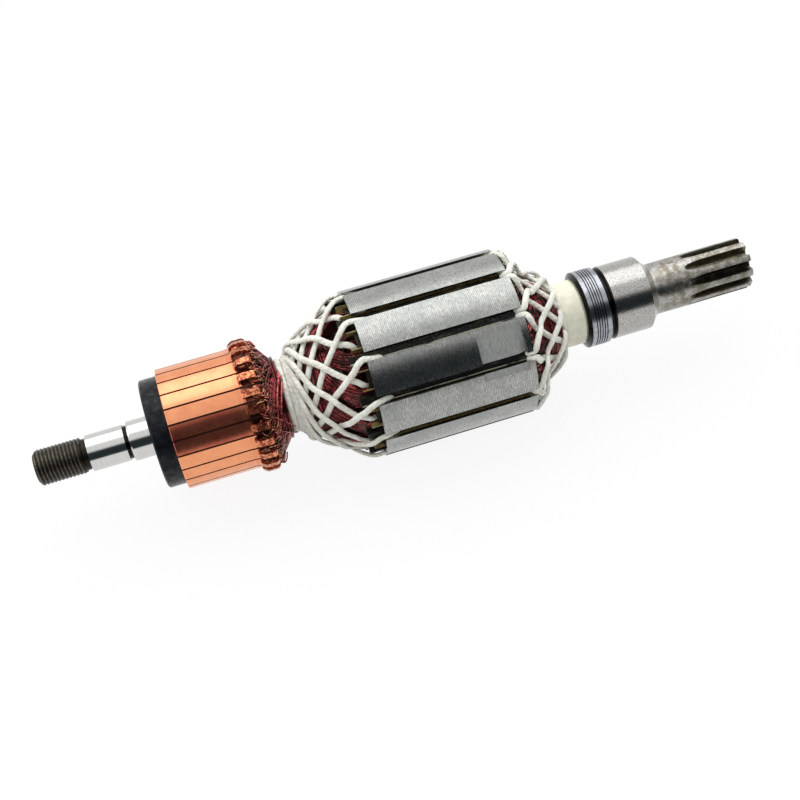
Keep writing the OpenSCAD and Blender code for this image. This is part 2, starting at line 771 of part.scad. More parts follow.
shaft();
labyrinth_ring();
insulating_sleeve();
commutator_bush();
commutator_hub();
mica_segments();
for (i = [1:bars])
    commutator_bar(i);
core_stack();
end_plate_commutator_side();
end_plate_drive_side();
slot_liners();
slot_wedges();
for (i = [1:slots])
    coil(i - 1);
winding_leads();
neck_wires();
neck_binding();
lacing_commutator_side();
lacing_drive_side();
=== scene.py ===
import bpy, math, random
from mathutils import Vector, Matrix


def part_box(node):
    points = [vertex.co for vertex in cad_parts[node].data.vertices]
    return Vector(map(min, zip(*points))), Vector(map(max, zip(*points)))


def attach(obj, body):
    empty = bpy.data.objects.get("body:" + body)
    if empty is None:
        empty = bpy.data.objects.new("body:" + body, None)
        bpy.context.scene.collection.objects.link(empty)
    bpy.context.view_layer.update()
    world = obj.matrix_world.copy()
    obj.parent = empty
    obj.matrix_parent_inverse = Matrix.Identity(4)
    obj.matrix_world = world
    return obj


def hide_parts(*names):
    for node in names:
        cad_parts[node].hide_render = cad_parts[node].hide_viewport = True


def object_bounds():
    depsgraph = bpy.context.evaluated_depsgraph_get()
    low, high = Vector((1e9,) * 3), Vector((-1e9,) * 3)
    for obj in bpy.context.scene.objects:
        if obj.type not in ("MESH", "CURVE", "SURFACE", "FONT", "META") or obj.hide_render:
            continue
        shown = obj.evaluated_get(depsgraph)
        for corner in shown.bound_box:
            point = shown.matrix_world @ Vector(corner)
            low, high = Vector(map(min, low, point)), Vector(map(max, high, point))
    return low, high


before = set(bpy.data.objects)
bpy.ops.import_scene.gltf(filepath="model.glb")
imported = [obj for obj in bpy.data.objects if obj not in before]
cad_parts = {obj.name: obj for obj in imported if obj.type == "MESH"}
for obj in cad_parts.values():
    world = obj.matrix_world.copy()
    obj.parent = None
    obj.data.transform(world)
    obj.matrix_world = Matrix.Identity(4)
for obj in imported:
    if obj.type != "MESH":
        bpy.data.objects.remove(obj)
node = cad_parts
cad_box = [list(c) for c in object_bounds()]

# ---------------------------------------------------------------------------
# Shaft: one turned and ground steel bar, with a rolled thread at one end and a
# pinion hobbed into the other. The thread is dark with oil; shade is painted in
# its roots and between the teeth, and a highlight is painted on its crests.
# ---------------------------------------------------------------------------
MM = 0.001


def new_material(name):
    mat = bpy.data.materials.new(name)
    mat.use_nodes = True
    tree = mat.node_tree
    return mat, tree, tree.nodes["Principled BSDF"]


def maths(tree, operation, a, b=None, clamp=False):
    n = tree.nodes.new("ShaderNodeMath")
    n.operation = operation
    n.use_clamp = clamp
    for i, v in enumerate((a, b)):
        if v is None:
            continue
        if isinstance(v, (int, float)):
            n.inputs[i].default_value = v
        else:
            tree.links.new(v, n.inputs[i])
    return n.outputs[0]


def within(tree, value, middle, half):
    """1 where a value is no further than half from the middle."""
    n = tree.nodes.new("ShaderNodeMath")
    n.operation = "COMPARE"
    n.inputs[1].default_value = middle
    n.inputs[2].default_value = half
    tree.links.new(value, n.inputs[0])
    return n.outputs[0]


def mix_colour(tree, factor, a, b):
    n = tree.nodes.new("ShaderNodeMix")
    n.data_type = "RGBA"
    for socket, v in ((n.inputs[0], factor), (n.inputs[6], a), (n.inputs[7], b)):
        if isinstance(v, (int, float)):
            socket.default_value = v
        elif isinstance(v, tuple):
            socket.default_value = (*v, 1.0)
        else:
            tree.links.new(v, socket)
    return n.outputs[2]


def ramp(tree, value, low, high, to_low=0.0, to_high=1.0):
    n = tree.nodes.new("ShaderNodeMapRange")
    n.inputs["From Min"].default_value = low
    n.inputs["From Max"].default_value = high
    n.inputs["To Min"].default_value = to_low
    n.inputs["To Max"].default_value = to_high
    tree.links.new(value, n.inputs["Value"])
    return n.outputs[0]


def new_group(name, inputs, outputs):
    """A node group that several finishes share, with what goes in and what comes out."""
    group = bpy.data.node_groups.new(name, "ShaderNodeTree")
    for label, kind in inputs:
        group.interface.new_socket(label, in_out="INPUT", socket_type="NodeSocket" + kind)
    for label, kind in outputs:
        group.interface.new_socket(label, in_out="OUTPUT", socket_type="NodeSocket" + kind)
    return group, group.nodes.new("NodeGroupInput").outputs, group.nodes.new("NodeGroupOutput").inputs


def use_group(tree, group, values):
    """A shared group placed in one finish, fed by numbers, colours or other sockets."""
    n = tree.nodes.new("ShaderNodeGroup")
    n.node_tree = group
    for label, v in values.items():
        if isinstance(v, bpy.types.NodeSocket):
            tree.links.new(v, n.inputs[label])
        else:
            n.inputs[label].default_value = (*v, 1.0) if isinstance(v, tuple) else v
    return n.outputs


# Shared: where a point of the surface lies on the armature. Angle 0 is down.
around_shaft, given, put = new_group(
    "around_the_shaft", [("Position", "Vector")],
    [("Millimetres", "Vector"), ("Along", "Float"), ("Angle", "Float"), ("Radius", "Float")])
in_mm = around_shaft.nodes.new("ShaderNodeVectorMath")
in_mm.operation = "SCALE"
in_mm.inputs["Scale"].default_value = 1 / MM
split = around_shaft.nodes.new("ShaderNodeSeparateXYZ")
around_shaft.links.new(given["Position"], in_mm.inputs[0])
around_shaft.links.new(in_mm.outputs[0], split.inputs[0])
x, y, z = split.outputs
squares = maths(around_shaft, "ADD", maths(around_shaft, "MULTIPLY", y, y), maths(around_shaft, "MULTIPLY", z, z))
downward = maths(around_shaft, "MULTIPLY", z, -1.0)
for label, socket in (("Millimetres", in_mm.outputs[0]), ("Along", x),
                      ("Angle", maths(around_shaft, "ARCTAN2", y, downward)),
                      ("Radius", maths(around_shaft, "SQRT", squares))):
    around_shaft.links.new(socket, put[label])

# Shared: patches of grime, tarnish or varnish that run from one colour to another
patchy_tone, given, put = new_group(
    "patchy_tone",
    [("Position", "Vector"), ("Scale", "Float"), ("Detail", "Float"), ("Roughness", "Float"),
     ("Low", "Float"), ("High", "Float"), ("First", "Color"), ("Second", "Color")],
    [("Colour", "Color"), ("Mask", "Float"), ("Height", "Float")])
clouds = patchy_tone.nodes.new("ShaderNodeTexNoise")
mask = patchy_tone.nodes.new("ShaderNodeMapRange")
for label, socket in (("Position", clouds.inputs["Vector"]), ("Scale", clouds.inputs["Scale"]),
                      ("Detail", clouds.inputs["Detail"]), ("Roughness", clouds.inputs["Roughness"]),
                      ("Low", mask.inputs["From Min"]), ("High", mask.inputs["From Max"])):
    patchy_tone.links.new(given[label], socket)
patchy_tone.links.new(clouds.outputs["Fac"], mask.inputs["Value"])
patchy_tone.links.new(mix_colour(patchy_tone, mask.outputs[0], given["First"], given["Second"]), put["Colour"])
patchy_tone.links.new(mask.outputs[0], put["Mask"])
patchy_tone.links.new(clouds.outputs["Fac"], put["Height"])

# Shared: lines that a tool or a drawing die leaves, finer one way than the other
tool_lines, given, put = new_group(
    "tool_lines",
    [("Position", "Vector"), ("Along", "Float"), ("Across", "Float"), ("Detail", "Float"), ("Roughness", "Float")],
    [("Height", "Float")])
fineness = tool_lines.nodes.new("ShaderNodeCombineXYZ")
for i, label in enumerate(("Along", "Across", "Across")):
    tool_lines.links.new(given[label], fineness.inputs[i])
stretch = tool_lines.nodes.new("ShaderNodeVectorMath")
stretch.operation = "MULTIPLY"
tool_lines.links.new(given["Position"], stretch.inputs[0])
tool_lines.links.new(fineness.outputs[0], stretch.inputs[1])
marks = tool_lines.nodes.new("ShaderNodeTexNoise")
marks.inputs["Scale"].default_value = 1.0
tool_lines.links.new(stretch.outputs[0], marks.inputs["Vector"])
tool_lines.links.new(given["Detail"], marks.inputs["Detail"])
tool_lines.links.new(given["Roughness"], marks.inputs["Roughness"])
tool_lines.links.new(marks.outputs["Fac"], put["Height"])


def place(tree):
    """Position in millimetres, station along the shaft, angle and radius."""
    coord = tree.nodes.new("ShaderNodeTexCoord")
    return tuple(use_group(tree, around_shaft, {"Position": coord.outputs["Object"]}))


def patches(tree, pos, scale, detail=3.0, rough=0.5, low=0.0, high=1.0, first=(0, 0, 0), second=(1, 1, 1)):
    return use_group(tree, patchy_tone, {
        "Position": pos, "Scale": scale, "Detail": detail, "Roughness": rough,
        "Low": low, "High": high, "First": first, "Second": second})


def noise(tree, pos, scale, detail=3.0, rough=0.5):
    return patches(tree, pos, scale, detail, rough)["Height"]


def lines(tree, pos, along, across, detail=3.0, rough=0.5):
    return use_group(tree, tool_lines, {
        "Position": pos, "Along": along, "Across": across, "Detail": detail, "Roughness": rough})["Height"]


def bump(tree, height, strength, distance, shader):
    n = tree.nodes.new("ShaderNodeBump")
    n.inputs["Strength"].default_value = strength
    n.inputs["Distance"].default_value = distance
    tree.links.new(height, n.inputs["Height"])
    tree.links.new(n.outputs[0], shader.inputs["Normal"])


def give(names, material):
    for name in names:
        mesh = node[name].data
        mesh.materials.clear()
        mesh.materials.append(material)


# Stations along the shaft and radii, in millimetres
thread_end, root_r, crest_r = -182.3, 5.65, 5.92
undercut, undercut_half, undercut_r, small_seat_r = -169.2, 1.3, 5.9, 5.98
ring_gap, ring_gap_half = -6.6, 1.2
drive_side = -10.0
pinion_from, pinion_to = 7.0, 16.0
tooth_gaps_from, tooth_r, tooth_flank_r = 11.5, 8.55, 7.9

steel, tree, shader = new_material("ground_steel")
pos, x, angle, radius = place(tree)
shader.inputs["Metallic"].default_value = 1.0
turning = lines(tree, pos, 3.0, 0.02, 4.0, 0.6)
patch = noise(tree, pos, 0.42, 6.0, 0.75)
speck = noise(tree, pos, 2.4, 4.0, 0.75)
in_thread = maths(tree, "LESS_THAN", x, thread_end)
in_undercut = maths(tree, "MULTIPLY", within(tree, x, undercut, undercut_half),
                    ramp(tree, radius, small_seat_r, undercut_r))
behind_ring = within(tree, x, ring_gap, ring_gap_half)
drive_end = maths(tree, "GREATER_THAN", x, drive_side)
pinion_end = ramp(tree, x, pinion_from, pinion_to)
in_gaps = maths(tree, "MULTIPLY", maths(tree, "GREATER_THAN", x, tooth_gaps_from),
                ramp(tree, radius, tooth_r, tooth_flank_r))
base = mix_colour(tree, ramp(tree, turning, 0.3, 0.7), (0.66, 0.655, 0.64), (0.55, 0.545, 0.53))
dull = mix_colour(tree, ramp(tree, speck, 0.35, 0.62), (0.24, 0.235, 0.22), (0.52, 0.515, 0.49))
base = mix_colour(tree, drive_end, base, dull)
stain = maths(tree, "MULTIPLY", pinion_end, ramp(tree, patch, 0.42, 0.56), clamp=True)
base = mix_colour(tree, maths(tree, "MULTIPLY", stain, 0.8), base, (0.15, 0.125, 0.08))
pits = maths(tree, "MULTIPLY", pinion_end, ramp(tree, speck, 0.62, 0.68), clamp=True)
base = mix_colour(tree, pits, base, (0.02, 0.018, 0.014))
# Painted shade between the pinion's teeth, patchy dark grey-brown
gap_shade = mix_colour(tree, ramp(tree, patch, 0.4, 0.6), (0.05, 0.05, 0.045), (0.16, 0.14, 0.09))
base = mix_colour(tree, in_gaps, base, gap_shade)
# Painted shade: the undercut and the groove behind the ring are near black
base = mix_colour(tree, maths(tree, "MAXIMUM", in_undercut, behind_ring), base, (0.015, 0.014, 0.013))
# The thread is dark oily steel, with painted shade in its roots and a painted highlight on its crests
thread_oil_shade_glint = mix_colour(tree, ramp(tree, radius, root_r, crest_r), (0.02, 0.018, 0.014), (0.27, 0.25, 0.20))
thread_oil_shade_glint = mix_colour(tree, ramp(tree, speck, 0.42, 0.6), thread_oil_shade_glint, (0.035, 0.03, 0.024))
base = mix_colour(tree, in_thread, base, thread_oil_shade_glint)
tree.links.new(base, shader.inputs["Base Color"])
worn = maths(tree, "MAXIMUM", in_thread, maths(tree, "MULTIPLY", pinion_end, 0.6))
grey = mix_colour(tree, drive_end, (0.15, 0.15, 0.15), (0.20, 0.20, 0.20))
tree.links.new(mix_colour(tree, worn, grey, (0.42, 0.42, 0.42)), shader.inputs["Roughness"])
pitted = maths(tree, "MULTIPLY", maths(tree, "MULTIPLY", speck, drive_end), 3.0)
bump(tree, maths(tree, "ADD", turning, pitted), 0.15, 0.00005, shader)
give(["shaft"], steel)

# The thread's crests: a vee run round the rolled shank in twelve turns
thread_start, thread_pitch, thread_turns, shank_r = -198.5, 1.2, 12, 5.46
vee_width, vee_height = 0.56, 0.46
bpy.ops.object.select_all(action="DESELECT")
bpy.ops.mesh.primitive_circle_add(
    vertices=4, radius=MM, location=(thread_start * MM, 0, shank_r * MM), rotation=(math.pi / 2, 0, 0))
thread = bpy.context.object
thread.name = "thread_crests"
thread.scale = (vee_width, vee_height, 1.0)
bpy.ops.object.transform_apply(location=True, rotation=True, scale=True)
winder = thread.modifiers.new("thread", "SCREW")
winder.axis = "X"
winder.screw_offset = thread_pitch * MM
winder.iterations = thread_turns
winder.steps = winder.render_steps = 40
bpy.ops.object.modifier_apply(modifier="thread")
bpy.ops.object.mode_set(mode="EDIT")
bpy.ops.mesh.select_all(action="SELECT")
bpy.ops.mesh.fill_holes(sides=0)
bpy.ops.mesh.select_all(action="SELECT")
bpy.ops.mesh.normals_make_consistent(inside=False)
bpy.ops.object.mode_set(mode="OBJECT")
bpy.ops.object.shade_smooth_by_angle(angle=math.radians(50))
thread.data.materials.append(steel)
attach(thread, "root")

# ---------------------------------------------------------------------------
# Labyrinth ring: turned steel ring pressed against the drive seat, with fine
# grooves that hold grease and a bevelled inner face. Shade is painted dark on the
# groove floors and black on the bevelled face.
# ---------------------------------------------------------------------------
groove_floor_r, ring_land_r = 12.6, 12.95
ring_face, ring_bevel = -14.55, -14.35
ring_steel, tree, shader = new_material("blued_ring_steel")
pos, x, angle, radius = place(tree)
shader.inputs["Metallic"].default_value = 1.0
shader.inputs["Roughness"].default_value = 0.24
grime = patches(tree, pos, 0.6, 4.0, 0.65, 0.35, 0.65, (0.26, 0.27, 0.30), (0.42, 0.43, 0.46))
# Painted shade: the groove floors below the lands are near black
base = mix_colour(tree, ramp(tree, radius, groove_floor_r, ring_land_r), (0.03, 0.03, 0.035), grime["Colour"])
# Painted shade: the bevelled inner face is black
base = mix_colour(tree, ramp(tree, x, ring_face, ring_bevel), (0.014, 0.014, 0.012), base)
tree.links.new(base, shader.inputs["Base Color"])
bump(tree, lines(tree, pos, 4.0, 0.05), 0.1, 0.00003, shader)
give(["labyrinth_ring"], ring_steel)

# ---------------------------------------------------------------------------
# Insulating sleeve: ivory moulded plastic tube that keeps the winding off the
# shaft. It is slid on before the core and a little soiled where it shows.
# ---------------------------------------------------------------------------
sleeve_plastic, tree, shader = new_material("ivory_moulding")
pos = place(tree)[0]
soil = patches(tree, pos, 0.45, 5.0, 0.65, 0.35, 0.7, (0.80, 0.79, 0.66), (0.66, 0.645, 0.49))
tree.links.new(soil["Colour"], shader.inputs["Base Color"])
shader.inputs["Roughness"].default_value = 0.42
bump(tree, soil["Height"], 0.2, 0.0003, shader)
give(["insulating_sleeve"], sleeve_plastic)

# ---------------------------------------------------------------------------
# Commutator body: black phenolic moulded around the copper, on a steel bush
# that is pressed on the shaft. Dust shows as fine grains in its gloss.
# ---------------------------------------------------------------------------
phenolic, tree, shader = new_material("black_phenolic")
pos = place(tree)[0]
haze = patches(tree, pos, 0.4, 4.0, 0.6, 0.4, 0.7, (0.004, 0.005, 0.007), (0.010, 0.012, 0.015))
grit = noise(tree, pos, 6.0, 2.0, 0.6)
tree.links.new(haze["Colour"], shader.inputs["Base Color"])
tree.links.new(ramp(tree, haze["Height"], 0.3, 0.7, 0.10, 0.26), shader.inputs["Roughness"])
shader.inputs["Specular IOR Level"].default_value = 0.12
gloss = maths(tree, "MULTIPLY", ramp(tree, haze["Height"], 0.46, 0.58), ramp(tree, grit, 0.54, 0.62), clamp=True)
tree.links.new(gloss, shader.inputs["Coat Weight"])
shader.inputs["Coat Roughness"].default_value = 0.12
bump(tree, grit, 0.5, 0.00012, shader)
give(["commutator_hub"], phenolic)
give(["commutator_bush"], steel)

# ---------------------------------------------------------------------------
# Commutator bars: 24 hard-drawn copper bars, turned true after moulding. Each
# bar's riser is bent over its winding wire and fused to it.
# ---------------------------------------------------------------------------
bar_count, bar_angle, first_bar = 24, 15.0, -1.5
track_end, land_start, hook_start = -132.2, -131.7, -130.3
flank_r, bar_r = 19.3, 19.7
copper, tree, shader = new_material("turned_copper")
pos, x, angle, radius = place(tree)
shader.inputs["Metallic"].default_value = 0.9
shader.inputs["Specular IOR Level"].default_value = 0.2
degrees = maths(tree, "MULTIPLY", angle, 180 / math.pi)
bar_number = maths(tree, "DIVIDE", maths(tree, "ADD", degrees, bar_angle / 2 - first_bar), bar_angle)
bar_number = maths(tree, "FLOOR", bar_number)
draw = tree.nodes.new("ShaderNodeTexWhiteNoise")
draw.noise_dimensions = "1D"
tree.links.new(bar_number, draw.inputs["W"])
turned = lines(tree, pos, 2.2, 0.15, 3.0, 0.6)
mottle = lines(tree, pos, 0.35, 1.6, 4.0, 0.7)
tarnish = patches(tree, pos, 0.22, 5.0, 0.65, 0.35, 0.68, (0.88, 0.36, 0.185), (0.78, 0.28, 0.14))
base = mix_colour(tree, maths(tree, "MULTIPLY", draw.outputs["Value"], 0.45), tarnish["Colour"], (0.86, 0.39, 0.18))
base = mix_colour(tree, ramp(tree, mottle, 0.5, 0.8, 0.0, 0.5), base, (0.62, 0.24, 0.13))
# Two pairs of bars opposite each other are painted dark red, a painted dark reflection
dark_reflection_bars = within(tree, maths(tree, "FLOORED_MODULO", bar_number, bar_count / 2), 3.5, 0.6)
painted_dark_reflection = maths(tree, "MULTIPLY", dark_reflection_bars, ramp(tree, tarnish["Height"], 0.3, 0.7, 0.95, 0.6))
base = mix_colour(tree, painted_dark_reflection, base, (0.46, 0.085, 0.06))
on_land = ramp(tree, x, track_end, land_start)
base = mix_colour(tree, maths(tree, "MULTIPLY", on_land, 0.45), base, (0.70, 0.24, 0.12))
on_hook = maths(tree, "GREATER_THAN", x, hook_start)
scale_spots = noise(tree, pos, 1.1, 4.0, 0.7)
burnt = maths(tree, "MULTIPLY", on_hook, ramp(tree, scale_spots, 0.44, 0.54), clamp=True)
base = mix_colour(tree, maths(tree, "MULTIPLY", burnt, 0.9), base, (0.20, 0.03, 0.018))
# Painted shade: the bar flanks below the track, between the bars, are near black
base = mix_colour(tree, ramp(tree, radius, flank_r, bar_r), (0.05, 0.012, 0.008), base)
tree.links.new(base, shader.inputs["Base Color"])
tree.links.new(ramp(tree, turned, 0.3, 0.7, 0.15, 0.24), shader.inputs["Roughness"])
lumps = maths(tree, "MULTIPLY", maths(tree, "MULTIPLY", scale_spots, on_hook), 12.0)
bump(tree, maths(tree, "ADD", maths(tree, "MULTIPLY", turned, 0.5), lumps), 0.12, 0.00005, shader)
give(["commutator_bar_%d" % (i + 1) for i in range(bar_count)], copper)

# ---------------------------------------------------------------------------
# Mica: thin segments that insulate the bars from each other, built in with
# them and undercut below the track, where copper dust has stained them.
# ---------------------------------------------------------------------------
mica, tree, shader = new_material("mica_edge")
pos = place(tree)[0]
dust = patches(tree, pos, 1.2, first=(0.05, 0.012, 0.008), second=(0.02, 0.008, 0.006))
tree.links.new(dust["Colour"], shader.inputs["Base Color"])
shader.inputs["Roughness"].default_value = 0.8
give(["mica_segments"], mica)

# ---------------------------------------------------------------------------
# Core: stack of punched silicon-steel laminations pressed on the shaft, ground
# on the outside, with one tooth milled flat to balance the rotor.
# ---------------------------------------------------------------------------
slot_wall_r, ground_r = 26.6, 26.9
flat_middle, flat_half, flat_at = -48.75, 7.45, math.radians(232.0)
lamination, tree, shader = new_material("laminated_steel")
pos, x, angle, radius = place(tree)
sheets = tree.nodes.new("ShaderNodeTexWave")
sheets.wave_type = "BANDS"
sheets.bands_direction = "X"
sheets.inputs["Scale"].default_value = 0.55
sheets.inputs["Distortion"].default_value = 0.6
sheets.inputs["Detail"].default_value = 2.0
tree.links.new(pos, sheets.inputs["Vector"])
grain = lines(tree, pos, 2.4, 0.5, 5.0, 0.75)
speck = lines(tree, pos, 1.5, 1.05, 5.0, 0.85)
smear = noise(tree, pos, 0.12, 4.0, 0.6)
# The milled flat faces one way and lies near the drive end
facing = tree.nodes.new("ShaderNodeVectorMath")
facing.operation = "DOT_PRODUCT"
facing.inputs[1].default_value = (0.0, math.sin(flat_at), -math.cos(flat_at))
tree.links.new(tree.nodes.new("ShaderNodeNewGeometry").outputs["True Normal"], facing.inputs[0])
milled = maths(tree, "MULTIPLY", maths(tree, "GREATER_THAN", facing.outputs["Value"], 0.995),
               within(tree, x, flat_middle, flat_half))
base = mix_colour(tree, ramp(tree, grain, 0.38, 0.66), (0.56, 0.555, 0.53), (0.34, 0.345, 0.33))
base = mix_colour(tree, ramp(tree, speck, 0.50, 0.60, 0.0, 0.7), base, (0.14, 0.15, 0.14))
base = mix_colour(tree, ramp(tree, smear, 0.42, 0.62, 0.0, 0.5), base, (0.25, 0.27, 0.26))
fresh_cut = mix_colour(tree, ramp(tree, grain, 0.4, 0.6), (0.50, 0.51, 0.49), (0.30, 0.31, 0.30))
base = mix_colour(tree, milled, base, fresh_cut)
base = mix_colour(tree, maths(tree, "MULTIPLY", sheets.outputs["Fac"], 0.6), base, (0.20, 0.205, 0.20))
# Painted shade: the steel in the slots, below the ground surface, is near black
base = mix_colour(tree, ramp(tree, radius, slot_wall_r, ground_r), (0.02, 0.019, 0.014), base)
tree.links.new(base, shader.inputs["Base Color"])
tree.links.new(maths(tree, "SUBTRACT", 1.0, maths(tree, "MULTIPLY", milled, 0.65)), shader.inputs["Metallic"])
matt = maths(tree, "ADD", ramp(tree, grain, 0.3, 0.7, 0.19, 0.33), maths(tree, "MULTIPLY", milled, 0.25))
tree.links.new(matt, shader.inputs["Roughness"])
bump(tree, maths(tree, "ADD", sheets.outputs["Fac"], maths(tree, "MULTIPLY", speck, 1.2)), 0.35, 0.00006, shader)
give(["core_stack"], lamination)

# ---------------------------------------------------------------------------
# Slot insulation: pressed fibre end plates, varnished slot papers folded into
# cuffs, and black fibre wedges driven under the tooth lips.
# ---------------------------------------------------------------------------
slot_count, slot_angle = 12, 30.0
lip_angle, lip_half = 2.15, 0.42
fibre, tree, shader = new_material("pressed_fibre")
pos = place(tree)[0]
pulp = patches(tree, pos, 0.8, first=(0.028, 0.020, 0.012), second=(0.008, 0.006, 0.005))
tree.links.new(pulp["Colour"], shader.inputs["Base Color"])
shader.inputs["Roughness"].default_value = 0.4
shader.inputs["Specular IOR Level"].default_value = 0.2
give(["end_plate_commutator_side", "end_plate_drive_side"], fibre)

paper, tree, shader = new_material("varnished_paper")
pos = place(tree)[0]
varnish = patches(tree, pos, 0.5, 4.0, 0.6, 0.35, 0.65, (0.32, 0.27, 0.10), (0.20, 0.12, 0.035))
tree.links.new(varnish["Colour"], shader.inputs["Base Color"])
shader.inputs["Roughness"].default_value = 0.35
shader.inputs["Coat Weight"].default_value = 0.4
give(["slot_liners"], paper)

wedge, tree, shader = new_material("black_wedge")
pos, x, angle, radius = place(tree)
degrees = maths(tree, "MULTIPLY", angle, 180 / math.pi)
across = maths(tree, "FLOORED_MODULO", maths(tree, "ADD", degrees, slot_angle / 2), slot_angle)
across = maths(tree, "SUBTRACT", across, slot_angle / 2)
runs_along = lines(tree, pos, 0.16, 0.9, 4.0, 0.65)
drips = noise(tree, pos, 1.3, 3.0, 0.6)
base = mix_colour(tree, ramp(tree, runs_along, 0.54, 0.7), (0.005, 0.005, 0.005), (0.06, 0.052, 0.024))
# A painted highlight: a pale line along each wedge's edge under the tooth lips
edge = maths(tree, "MULTIPLY", within(tree, across, lip_angle, lip_half), ramp(tree, runs_along, 0.36, 0.5), clamp=True)
base = mix_colour(tree, maths(tree, "MULTIPLY", edge, 0.8), base, (0.42, 0.42, 0.33))
tree.links.new(base, shader.inputs["Base Color"])
shader.inputs["Roughness"].default_value = 0.32
shader.inputs["Specular IOR Level"].default_value = 0.12
tree.links.new(ramp(tree, drips, 0.58, 0.66), shader.inputs["Coat Weight"])
shader.inputs["Coat Roughness"].default_value = 0.1
bump(tree, drips, 0.5, 0.0003, shader)
give(["slot_wedges"], wedge)

# ---------------------------------------------------------------------------
# Coils: machine-wound enamelled copper wire. Each of the 12 coils leaves its
# slot, crosses to an arc around the shaft and drops into the fifth slot on.
# ---------------------------------------------------------------------------
coil_step = 5
coil_reach = coil_step * slot_angle
winding_wire, wire_pitch, side_half = 0.8, 0.79, 2.1
arc_outer = 14.3
slot_floor, slot_split, slot_fill = 15.2, 19.7, 22.7
core_left, core_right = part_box("core_stack")[0][0] / MM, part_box("core_stack")[1][0] / MM
# The bulge of each end winding: its height off the core, its brow and its crown
ends = {
    "commutator": dict(face=core_left, out=-1, height=22.6, brow=5.5, brow_r=22.9, crown_r=10.9,
                       bulge=0.85, inner=10.0),
    "drive": dict(face=core_right, out=1, height=15.0, brow=3.0, brow_r=18.8, crown_r=11.3,
                  bulge=0.75, inner=11.2),
}


def around(x, angle, radius):
    """The point at a station, angle and radius; 0 degrees points down."""
    a = math.radians(angle)
    return Vector((x, radius * math.sin(a), -radius * math.cos(a))) * MM


def eased(stops, per):
    """A smooth run of (station, angle, radius) through a few stops."""
    fine = []
    for i in range(len(stops) - 1):
        p0, p1, p2, p3 = (stops[min(max(i + k, 0), len(stops) - 1)] for k in (-1, 0, 1, 2))
        for j in range(per):
            t = j / per
            fine.append(tuple(
                0.5 * (2 * b + (c - a) * t + (2 * a - 5 * b + 4 * c - d) * t * t + (3 * b - a - 3 * c + d) * t ** 3)
                for a, b, c, d in zip(p0, p1, p2, p3)))
    return fine + [tuple(stops[-1])]


def strands(name, runs, replaced=()):
    """One mesh of many wires; a run is (path of points, thickness, width, lean, tone, sides)."""
    verts, faces, corner_uv, tones = [], [], [], []
    for path, thick, wide, lean, tone, sides in runs:
        first, along, closed = len(verts), 0.0, (path[0] - path[-1]).length < 1e-7
        if closed:
            path = path[:-1]
        count = len(path)
        marks = []
        for i, p in enumerate(path):
            before = path[(i - 1) % count if closed else max(i - 1, 0)]
            after = path[(i + 1) % count if closed else min(i + 1, count - 1)]
            ahead = (after - before).normalized()
            outward = Vector((lean[i] if isinstance(lean, list) else lean, *p.yz.normalized()))
            outward = (outward - ahead * outward.dot(ahead)).normalized()
            across = ahead.cross(outward)
            if i:
                along += (p - path[i - 1]).length / MM
            marks.append(along)
            for k in range(sides):
                turn = 2 * math.pi * k / sides
                verts.append(p + (outward * math.cos(turn) * thick + across * math.sin(turn) * wide) * 0.5 * MM)
                tones.append(tone)
        for i in range(count if closed else count - 1):
            j = (i + 1) % count
            end_mark = marks[j] if j else along + (path[0] - path[-1]).length / MM
            here, there = first + i * sides, first + j * sides
            for k in range(sides):
                m = (k + 1) % sides
                faces.append((here + k, there + k, there + m, here + m))
                u0, u1 = k / sides, (k + 1) / sides
                corner_uv += [(u0, marks[i]), (u0, end_mark), (u1, end_mark), (u1, marks[i])]
        if not closed:
            for ring, flip in ((0, False), (count - 1, True)):
                cap = [first + ring * sides + k for k in range(sides)]
                faces.append(tuple(reversed(cap)) if flip else tuple(cap))
                corner_uv += [(0.0, marks[ring])] * sides
    mesh = bpy.data.meshes.new(name)
    mesh.from_pydata(verts, [], faces)
    uv = mesh.uv_layers.new(name="length")
    uv.data.foreach_set("uv", [c for pair in corner_uv for c in pair])
    mesh.attributes.new("tone", "FLOAT", "POINT").data.foreach_set("value", tones)
    mesh.polygons.foreach_set("use_smooth", [True] * len(faces))
    piece = bpy.data.objects.new(name, mesh)
    bpy.context.scene.collection.objects.link(piece)
    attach(piece, "root")
    if replaced:
        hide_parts(*replaced)
    return piece


coil_layers, plate_thick = 6, 1.2


def crown(end, radius, layer):
    """Height above the core of a layer of coils at a radius."""
    if radius >= end["brow_r"]:
        z = end["brow"]
    elif radius <= end["crown_r"]:
        z = end["height"]
    else:
        share = (radius - end["crown_r"]) / (end["brow_r"] - end["crown_r"])
        z = end["brow"] + (end["height"] - end["brow"]) * (1 - share ** (1 / end["bulge"]))
    return plate_thick + (z - plate_thick) * (layer + 1) / coil_layers


